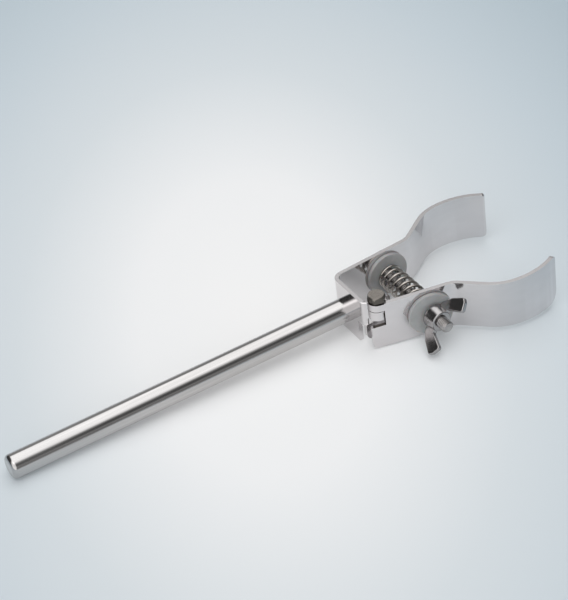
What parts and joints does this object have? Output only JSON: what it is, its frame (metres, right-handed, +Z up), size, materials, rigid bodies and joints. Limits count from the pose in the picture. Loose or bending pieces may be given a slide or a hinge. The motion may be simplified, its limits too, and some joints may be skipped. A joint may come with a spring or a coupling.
{
  "type": "retort clamp",
  "caption": "Two-jaw laboratory clamp on a long support rod: a fixed and a hinged curved steel jaw, pushed apart by a spring and drawn together by a wing nut on a cross bolt.",
  "frame": {"origin": "where the rod's axis meets the outer face of the bracket's web", "axes": "+X along the rod towards the jaws, +Y from the moving jaw to the fixed jaw, +Z up along the hinge bolt"},
  "size_m": [0.2736, 0.0751, 0.029],
  "materials": {
    "polished_rod": "fine brushed bright plating",
    "polished_sheet": "polished nickel plating on folded steel strip",
    "bolt_steel": "warm turned steel",
    "clamp_bolt_steel": "zinc-plated threaded steel",
    "cast_wing": "plated, slightly rough cast surface",
    "spring_wire": "drawn bright wire",
    "washer_plastic": "milky white translucent plastic"
  },
  "bodies": {
    "frame": {"support_rod": "polished_rod", "bracket": "polished_sheet", "hinge_bolt": "bolt_steel", "clamp_bolt": "clamp_bolt_steel", "compression_spring": "spring_wire", "fixed_jaw_inner_washer": "washer_plastic", "fixed_jaw_outer_washer": "washer_plastic"},
    "jaw": {"moving_jaw": "polished_sheet", "moving_jaw_inner_washer": "washer_plastic"},
    "nut_washer": {"moving_jaw_outer_washer": "washer_plastic"},
    "wing_nut": {"wing_nut": "cast_wing"}
  },
  "joints": [
    {"name": "jaw_swing", "type": "hinge", "parent": "frame", "child": "jaw", "pos_m": [0.0074, -0.017, 0], "axis": [0, 0, 1], "range_deg": [0, 33], "stiffness_Nm_per_rad": 0.5, "springref_deg": -34.38, "deforming": ["compression_spring"]},
    {"name": "wing_nut_travel", "type": "slide", "parent": "frame", "child": "nut_washer", "axis": [0, -1, 0], "range_m": [0, 0.006]},
    {"name": "wing_nut_spin", "type": "hinge", "parent": "nut_washer", "child": "wing_nut", "pos_m": [0.03, -0.03, 0], "axis": [0, -1, 0], "range_deg": [0, 2160]}
  ],
  "couplings": [
    {"joint": "wing_nut_spin", "follows": "wing_nut_travel", "rad_per_m": 6283.2}
  ]
}
